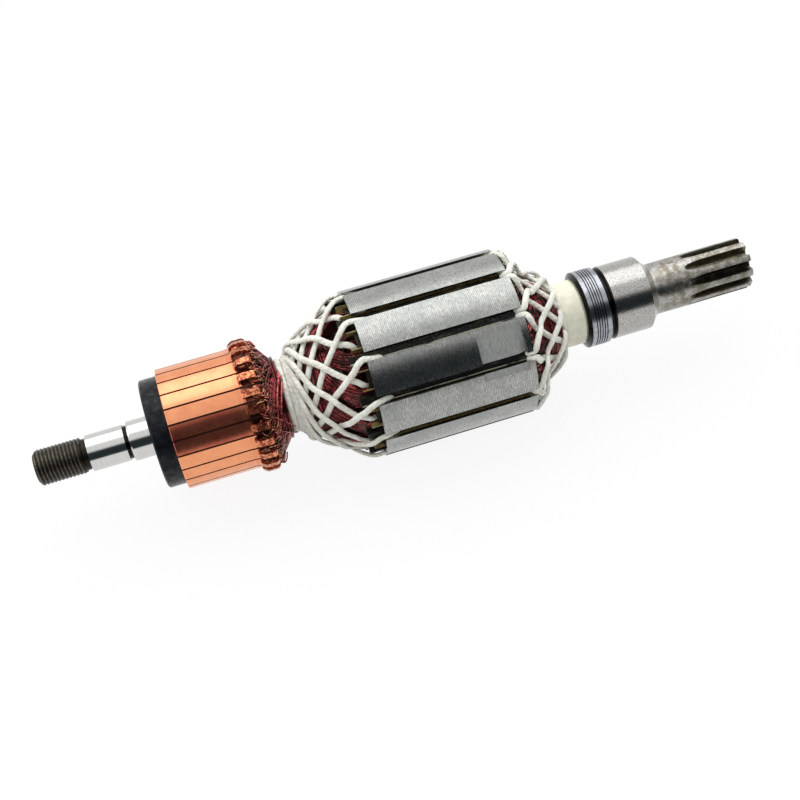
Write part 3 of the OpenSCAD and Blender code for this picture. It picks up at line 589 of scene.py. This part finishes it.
def end_turn(end, coil, reach, sunk, spread):
    """A wire of one coil over one end of the core; reach is its distance from the axis in the arc."""
    layer, arc_steps = coil % coil_layers, 4
    sides = [((slot_floor + slot_split) / 2, slot_split), ((slot_split + slot_fill) / 2, slot_fill)]
    radii = [sides[layer == coil_layers - 1], sides[layer != 0]]
    half, middle = [], coil_reach / 2
    for (mid, outer), sign in zip(radii, (1, -1)):
        tangent = math.degrees(math.acos((end["inner"] + arc_outer) / 2 / mid))
        lateral = spread * math.degrees(side_half / mid)
        # Up out of the slot, straight in to the arc, then round the shaft to the middle of the turn
        run = [(outer + 0.05, lateral, -0.8), (outer + 0.15, lateral, 1.4),
               (outer - 0.1, lateral, 0.62 * crown(end, mid, layer))]
        length = math.sqrt(max(mid * mid - reach * reach, 1.0))
        for t in (0.8, 0.55, 0.3, 0.0):
            r = math.hypot(reach, length * t)
            run.append((r, tangent - math.degrees(math.atan2(length * t, reach)), None))
        run += [(reach, tangent + (middle - tangent) * k / arc_steps, None) for k in range(1, arc_steps + 1)]
        half.append([(r, a if sign > 0 else coil_reach - a, z) for r, a, z in run])
    path = []
    for r, a, z in half[0] + half[1][-2::-1]:
        if z is None:
            z = max(crown(end, r, layer) - 0.08 - winding_wire * (0.22 + sunk), plate_thick + 0.1)
        path.append((end["face"] + end["out"] * z, a + coil * slot_angle, r))
    return [around(*q) for q in eased(path, 2)]


chance = random.Random(7)
for side, end in ends.items():
    runs = []
    for coil in range(slot_count):
        wires_across = int((arc_outer - end["inner"] - 0.2) / wire_pitch)
        across = [end["inner"] + 0.45 + k * wire_pitch for k in range(wires_across)]
        placed = [(reach, 0.0) for reach in across]
        placed += [(arc_outer - 0.15, sunk) for sunk in (0.55, 1.5, 2.4)]
        for reach, sunk in placed:
            spread = (reach - across[0]) / (across[-1] - across[0]) * 2 - 1
            path = end_turn(end, coil, reach + chance.uniform(-0.12, 0.12), sunk + chance.uniform(-0.12, 0.2), spread)
            runs.append((path, winding_wire, winding_wire, 0.0, chance.random(), 6))
    strands("end_winding_" + side, runs)

# The enamel wears off where the leads reach the hooks
enamel_whole, enamel_bare = -120.5, -123.5
enamel, tree, shader = new_material("enamelled_wire")
pos, x, angle, radius = place(tree)
tone = tree.nodes.new("ShaderNodeAttribute")
tone.attribute_name = "tone"
shade = noise(tree, pos, 0.9, 4.0, 0.65)
baked = noise(tree, pos, 0.22, 4.0, 0.65)
base = mix_colour(tree, tone.outputs["Fac"], (0.15, 0.015, 0.017), (0.62, 0.11, 0.12))
base = mix_colour(tree, ramp(tree, shade, 0.49, 0.6), base, (0.032, 0.009, 0.006))
base = mix_colour(tree, ramp(tree, baked, 0.54, 0.60, 0.0, 0.92), base, (0.016, 0.010, 0.007))
base = mix_colour(tree, ramp(tree, baked, 0.42, 0.36, 0.0, 0.75), base, (0.17, 0.09, 0.045))
bare = maths(tree, "MULTIPLY", ramp(tree, x, enamel_whole, enamel_bare), ramp(tree, shade, 0.50, 0.42), clamp=True)
base = mix_colour(tree, maths(tree, "MULTIPLY", bare, 0.7), base, (0.72, 0.36, 0.18))
tree.links.new(base, shader.inputs["Base Color"])
tree.links.new(ramp(tree, shade, 0.3, 0.7, 0.12, 0.3), shader.inputs["Roughness"])
shader.inputs["Metallic"].default_value = 0.8
shader.inputs["Specular IOR Level"].default_value = 0.3
shader.inputs["Coat Weight"].default_value = 0.15
shader.inputs["Coat Roughness"].default_value = 0.1
for side in ends:
    bpy.data.objects["end_winding_" + side].data.materials.append(enamel)

# Painted shade: the coil bulk under the overlaid wires is near black with dark red patches
bulk, tree, shader = new_material("coil_bulk_shade")
pos = place(tree)[0]
shade = patches(tree, pos, 0.7, 4.0, 0.6, 0.3, 0.7, (0.05, 0.008, 0.007), (0.015, 0.006, 0.005))
tree.links.new(shade["Colour"], shader.inputs["Base Color"])
shader.inputs["Roughness"].default_value = 0.35
shader.inputs["Specular IOR Level"].default_value = 0.25
give(["coil_%d" % (i + 1) for i in range(slot_count)], bulk)

# ---------------------------------------------------------------------------
# Leads: the coils' ends, drawn round the neck and up to the bars, where each
# is caught under its hook and fused. Varnish has set them in a loose tangle.
# ---------------------------------------------------------------------------
lead_count, curls_per_bar = 170, 4
hook_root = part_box("commutator_bar_1")[1][0] / MM
neck_start = hook_root + 6.9
runs = []
for k in range(lead_count):
    bar = first_bar + bar_angle * (k % bar_count) + chance.uniform(-5.5, 5.5)
    twist = -chance.uniform(30, 85) if chance.random() < 0.7 else chance.uniform(8, 45)
    lift = chance.uniform(0.2, 1.7)
    top = 19.0 + chance.uniform(-0.6, 1.0)
    stops = [
        (hook_root - chance.uniform(0.6, 3.6), bar, top + 0.3), (hook_root + 0.5, bar + twist * 0.06, top + 0.1),
        (hook_root + 2.0, bar + twist * 0.26, 16.3 + lift + chance.uniform(-0.3, 0.3)),
        (hook_root + 3.9, bar + twist * 0.52, 14.1 + lift + chance.uniform(-0.4, 0.4)),
        (hook_root + 5.6, bar + twist * 0.8, 12.4 + lift * 0.6), (neck_start + 0.4, bar + twist, 11.2 + lift * 0.3),
    ]
    wire = chance.choice((0.45, 0.5, 0.62))
    runs.append(([around(*q) for q in eased(stops, 2)], wire, wire, 0.0, chance.random() * 0.8, 5))
# Curls of wire between the hooks
curl_wire = 0.5
for k in range(bar_count * curls_per_bar):
    bar = first_bar + bar_angle * (k // curls_per_bar + 0.5) + chance.uniform(-3.0, 3.0)
    start = hook_root - chance.uniform(-0.6, 3.4)
    sway = chance.choice((-1, 1)) * chance.uniform(2.0, 5.0)
    rise = chance.uniform(0.2, 1.2)
    stops = [
        (start, bar, 19.5), (start + 0.7, bar + sway * 0.6, 19.8 + rise), (start + 1.6, bar + sway, 19.7 + rise),
        (start + 2.3, bar + sway * 0.3, 19.0 + rise * 0.5), (start + 2.7, bar - sway * 0.2, 18.2),
    ]
    runs.append(([around(*q) for q in eased(stops, 2)], curl_wire, curl_wire, 0.0, chance.random(), 5))
strands("lead_wires", runs).data.materials.append(enamel)

# Two bright leads that run side by side round the neck, and three stray ends
bright_wire, stray_wire = 0.7, 0.32
bright = [
    [(-117.2, 180, 13.0), (-117.9, 195, 13.8), (-119.1, 209, 15.0), (-120.2, 221, 16.1), (-121.1, 232, 17.0),
     (-121.8, 242, 17.5), (-123.2, 252, 18.6)],
    [(-116.7, 188, 12.5), (-117.3, 202, 13.2), (-118.4, 216.5, 14.3), (-119.4, 228.5, 15.3), (-120.4, 238.5, 16.2),
     (-121.6, 249, 17.0)],
]
stray = [
    [(-126.4, 228, 20.9), (-125.2, 230.5, 21.0), (-123.5, 234, 19.4), (-120.9, 242, 17.1), (-118.6, 254.5, 14.8),
     (-116.6, 272, 12.9)],
    [(-122.8, 250, 18.9), (-121.0, 256, 17.6), (-119.4, 266, 15.6), (-116.4, 288, 12.9)],
    [(-121.5, 241, 18.2), (-122.2, 246, 18.8), (-122.9, 250, 19.3), (-123.8, 256, 19.9)],
]
runs = [([around(*q) for q in eased(route, 5)], bright_wire, bright_wire, 0.0, 1.0, 8) for route in bright]
runs += [([around(*q) for q in eased(route, 6)], stray_wire, stray_wire, 0.0, 0.9, 6) for route in stray]
strands("bright_leads", runs).data.materials.append(enamel)
give(["winding_leads", "neck_wires"], enamel)

# ---------------------------------------------------------------------------
# Twine: flat waxed cord laced over the end windings from slot to slot, two
# families crossing, and bound in two turns round the neck.
# ---------------------------------------------------------------------------
twine_thick, twine_wide = 1.4, 2.05
tooth_lip_r = 26.1
slot_mouth_r = tooth_lip_r + 0.25 + twine_thick / 2
# Each stop is (share of the winding's height, degrees from the slot, level:
# 0 on the winding, 1 over the other family, 2 at the slot's mouth)
lacing = {
    "commutator": [
        [(0.04, 1.5, 2), (0.13, 3.5, 2), (0.21, 7, 1.6), (0.31, 11, 1), (0.42, 17, 0.7), (0.53, 24, 0),
         (0.62, 32, 0), (0.71, 43, 0), (0.8, 56, 0), (0.88, 70, 0), (0.95, 84, 0)],
        [(0.12, 17.5, 0), (0.2, 14.5, 0), (0.31, 11, 0), (0.42, 5, 0.3), (0.53, -2, 1), (0.62, -8.5, 1),
         (0.71, -14.5, 1), (0.79, -21.5, 1), (0.85, -30.5, 1), (0.91, -44, 1), (0.955, -56, 1)],
    ],
    "drive": [
        [(0.06, 2.5, 2), (0.12, 5.5, 2), (0.22, 11, 1.3), (0.32, 15.5, 0.2), (0.44, 20, 0), (0.58, 27, 0),
         (0.72, 34, 0), (0.84, 41, 0), (0.93, 47, 0)],
        [(0.06, -2.5, 2), (0.12, -6, 2), (0.22, -11.5, 1.8), (0.32, -15.5, 1.6), (0.44, -20, 1), (0.58, -26, 1),
         (0.72, -33, 1), (0.84, -40, 1), (0.96, -49, 1)],
    ],
}


def winding_skin(end, z, lift):
    """Radius at which a cord lies on the winding at height z, measured square to its slope."""
    def surface(at):
        if at <= end["brow"]:
            return end["brow_r"]
        left = max(0.0, 1 - (at - end["brow"]) / (end["height"] - end["brow"]))
        return end["crown_r"] + (end["brow_r"] - end["crown_r"]) * left ** end["bulge"]
    r = surface(z)
    slope = min(1.0, r - surface(z + 1))
    return r + lift * math.sqrt(1 + slope * slope)


def cord_stop(end, stop, slot_number):
    share, angle, level = stop
    z = share * end["height"]
    low = winding_skin(end, z, twine_thick / 2 + 0.15)
    high = winding_skin(end, z, twine_thick * 1.5 + 0.35)
    r = low + (high - low) * level if level <= 1 else high + (slot_mouth_r - high) * (level - 1)
    return (end["face"] + end["out"] * z, slot_number * slot_angle + angle, r, end["out"] * 0.7 * min(1, 2 - level))


# Each run dives under the wedge at one end and under the neck's turns at the other
tucks = {
    "commutator": [
        ([(-0.26, 1.5, 0.9), (-0.14, 1.5, 1.45), (-0.03, 1.5, 1.95)], [(0.99, 97, -0.1), (1.04, 112, -0.2)]),
        ([(0.02, 20.5, -1.6), (0.06, 19.5, -0.9)],
         [(0.985, -70, 0.9), (1.01, -86, 0.7), (1.035, -102, 0.4), (1.06, -118, 0.1)]),
    ],
    "drive": [
        ([(-0.38, 1.5, 0.9), (-0.2, 1.8, 1.5), (-0.05, 2.2, 1.95)], [(1.0, 53, -0.2)]),
        ([(-0.38, -1.5, 0.9), (-0.2, -1.8, 1.5), (-0.05, -2.2, 1.95)], [(1.02, -56, 0.3)]),
    ],
}
ring_step, ring_points, cord_sides = 7.5, 49, 12
for side, end in ends.items():
    runs = []
    for slot_number in range(slot_count):
        for route, (into_slot, into_neck) in zip(lacing[side], tucks[side]):
            fine = eased([cord_stop(end, stop, slot_number) for stop in into_slot + route + into_neck], 4)
            wander = chance.uniform(0, 6.28)
            fine = [(x, a + 0.5 * math.sin(wander + 0.35 * i), r, lean) for i, (x, a, r, lean) in enumerate(fine)]
            leans = [q[3] for q in fine]
            runs.append(([around(*q[:3]) for q in fine], twine_thick, twine_wide, leans, chance.random(), cord_sides))
    if side == "drive":
        ring_x, ring_r = end["face"] + end["height"] + 0.75, 11.75
        ring = [around(ring_x, ring_step * k, ring_r) for k in range(ring_points)]
        runs.append((ring, twine_thick, twine_thick, 0.0, 0.5, cord_sides))
    strands("lacing_cord_" + side, runs, ["lacing_%s_side" % side])
neck_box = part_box("neck_binding")
neck_x, neck_r = neck_box[1][0] / MM, neck_box[1][1] / MM - twine_thick / 2
neck_turns = 2
runs = []
for turn in range(neck_turns):
    middle = neck_x - (turn + 0.5) * twine_wide
    ring = [around(middle + 0.12 * math.sin(math.radians(ring_step * k + 40 * turn)), ring_step * k, neck_r)
            for k in range(ring_points)]
    runs.append((ring, twine_thick, twine_wide, 0.0, 0.5, cord_sides))
strands("binding_cord", runs, ["neck_binding"])

yarns_round, yarns_along = 3.0, 0.55
twine, tree, shader = new_material("waxed_twine")
pos = place(tree)[0]
uv = tree.nodes.new("ShaderNodeUVMap")
uv.uv_map = "length"
split = tree.nodes.new("ShaderNodeSeparateXYZ")
tree.links.new(uv.outputs[0], split.inputs[0])
lay = maths(tree, "ADD", maths(tree, "MULTIPLY", split.outputs[0], yarns_round),
            maths(tree, "MULTIPLY", split.outputs[1], yarns_along))
yarn = maths(tree, "ABSOLUTE", maths(tree, "SINE", maths(tree, "MULTIPLY", lay, math.pi)))
fuzz = noise(tree, pos, 3.5, 4.0, 0.7)
soil = patches(tree, pos, 0.35, 4.0, 0.6, 0.4, 0.72, (0.80, 0.80, 0.74), (0.60, 0.585, 0.49))
# Painted shade in the grooves between the yarns
base = mix_colour(tree, ramp(tree, yarn, 0.25, 0.0, 0.0, 0.35), soil["Colour"], (0.42, 0.40, 0.33))
tree.links.new(base, shader.inputs["Base Color"])
shader.inputs["Roughness"].default_value = 0.7
shader.inputs["Sheen Weight"].default_value = 0.25
bump(tree, maths(tree, "ADD", yarn, maths(tree, "MULTIPLY", fuzz, 0.6)), 0.45, 0.00025, shader)
for name in ("lacing_cord_commutator", "lacing_cord_drive", "binding_cord"):
    bpy.data.objects[name].data.materials.append(twine)
give(["neck_binding", "lacing_commutator_side", "lacing_drive_side"], twine)

# ---------------------------------------------------------------------------
# Studio: a pale floor just under the core, one soft lamp above, and a white
# room whose light has a dark band in front and a bright band overhead for the metal.
# ---------------------------------------------------------------------------
floor_z = cad_box[0][2]
bpy.ops.object.select_all(action="DESELECT")
bpy.ops.mesh.primitive_plane_add(size=8.0, location=(0, 0, floor_z - 0.0002))
floor = bpy.context.object
floor.name = "floor"
mat, tree, shader = new_material("pale_floor")
shader.inputs["Base Color"].default_value = (0.8, 0.8, 0.8, 1)
shader.inputs["Roughness"].default_value = 0.9
shader.inputs["Specular IOR Level"].default_value = 0.0
white = tree.nodes.new("ShaderNodeEmission")
white.inputs["Color"].default_value = (1, 1, 1, 1)
path = tree.nodes.new("ShaderNodeLightPath")
mixer = tree.nodes.new("ShaderNodeMixShader")
seen = maths(tree, "MAXIMUM", path.outputs["Is Camera Ray"], path.outputs["Is Transmission Ray"])
seen = maths(tree, "MAXIMUM", seen, path.outputs["Is Glossy Ray"])
tree.links.new(maths(tree, "MULTIPLY", seen, 0.9), mixer.inputs[0])
tree.links.new(shader.outputs[0], mixer.inputs[1])
tree.links.new(white.outputs[0], mixer.inputs[2])
tree.links.new(mixer.outputs[0], tree.nodes["Material Output"].inputs["Surface"])
floor.data.materials.append(mat)

# The room's brightness round the shaft's axis, in degrees from the front; the
# levels between dim and full are the white walls, which metal sees as well
room_levels = [(0.0, 0.8), (1.0, 0.8), (4.0, 0.035), (50.0, 0.035), (62.0, 0.72), (86.0, 0.8), (99.0, 2.35),
               (142.0, 2.35), (156.0, 0.66), (176.0, 0.66)]
dim, full, half_turn = 0.5, 1.0, 180.0
world = bpy.data.worlds.new("studio")
bpy.context.scene.world = world
world.use_nodes = True
tree = world.node_tree
tree.nodes.clear()
coord = tree.nodes.new("ShaderNodeTexCoord")
split = tree.nodes.new("ShaderNodeSeparateXYZ")
tree.links.new(coord.outputs["Generated"], split.inputs[0])
turn = maths(tree, "ARCTAN2", split.outputs[2], maths(tree, "MULTIPLY", split.outputs[1], -1.0))
turn = maths(tree, "DIVIDE", maths(tree, "MULTIPLY", turn, 180 / math.pi), half_turn)
room = tree.nodes.new("ShaderNodeValToRGB")
walls = tree.nodes.new("ShaderNodeValToRGB")
for band in (room, walls):
    tree.links.new(turn, band.inputs[0])
    band.color_ramp.elements.remove(band.color_ramp.elements[1])
    for k, (degrees, level) in enumerate(room_levels):
        stop = band.color_ramp.elements[0] if k == 0 else band.color_ramp.elements.new(degrees / half_turn)
        stop.position = degrees / half_turn
        if band is walls:
            stop.color = (1, 1, 1, 1) if dim < level < full else (0, 0, 0, 1)
        else:
            stop.color = (level, level, level, 1) if level > dim else (level * 0.75, level, level * 1.1, 1)
light = tree.nodes.new("ShaderNodeBackground")
tree.links.new(room.outputs[0], light.inputs["Color"])
plain = tree.nodes.new("ShaderNodeBackground")
plain.inputs["Color"].default_value = (1, 1, 1, 1)
path = tree.nodes.new("ShaderNodeLightPath")
mixer = tree.nodes.new("ShaderNodeMixShader")
seen = maths(tree, "MAXIMUM", path.outputs["Is Camera Ray"], path.outputs["Is Transmission Ray"])
mirrored = maths(tree, "MULTIPLY", path.outputs["Is Glossy Ray"], walls.outputs[0])
tree.links.new(maths(tree, "MAXIMUM", seen, mirrored), mixer.inputs[0])
tree.links.new(light.outputs[0], mixer.inputs[1])
tree.links.new(plain.outputs[0], mixer.inputs[2])
out = tree.nodes.new("ShaderNodeOutputWorld")
tree.links.new(mixer.outputs[0], out.inputs[0])

lamp = bpy.data.lights.new("front_soft", "AREA")
lamp.energy = 2.0
lamp.size = 0.6
lamp_object = bpy.data.objects.new("front_soft", lamp)
bpy.context.scene.collection.objects.link(lamp_object)
lamp_object.location = (-0.35, -0.55, 0.7)
lamp_object.rotation_euler = (Vector((-0.08, 0, 0)) - lamp_object.location).to_track_quat("-Z", "Y").to_euler()
lamp_object.visible_glossy = False

# The camera looks down on the armature as it lies on its core
camera = bpy.data.cameras.new("camera")
camera.lens = 58.5
camera.sensor_width = 36.0
camera_object = bpy.data.objects.new("camera", camera)
bpy.context.scene.collection.objects.link(camera_object)
right = Vector((0.9519818, -0.29433336, -0.08425279))
up = Vector((0.28182721, 0.73499297, 0.61673233))
back = Vector((-0.11959969, -0.61086268, 0.78265107))
view = Matrix((right, up, back)).transposed().to_4x4()
view.translation = Vector((-0.13228507, -0.27114996, 0.32817891))
camera_object.matrix_world = view
bpy.context.scene.camera = camera_object
bpy.context.scene.view_settings.view_transform = "Standard"

bpy.context.view_layer.update()
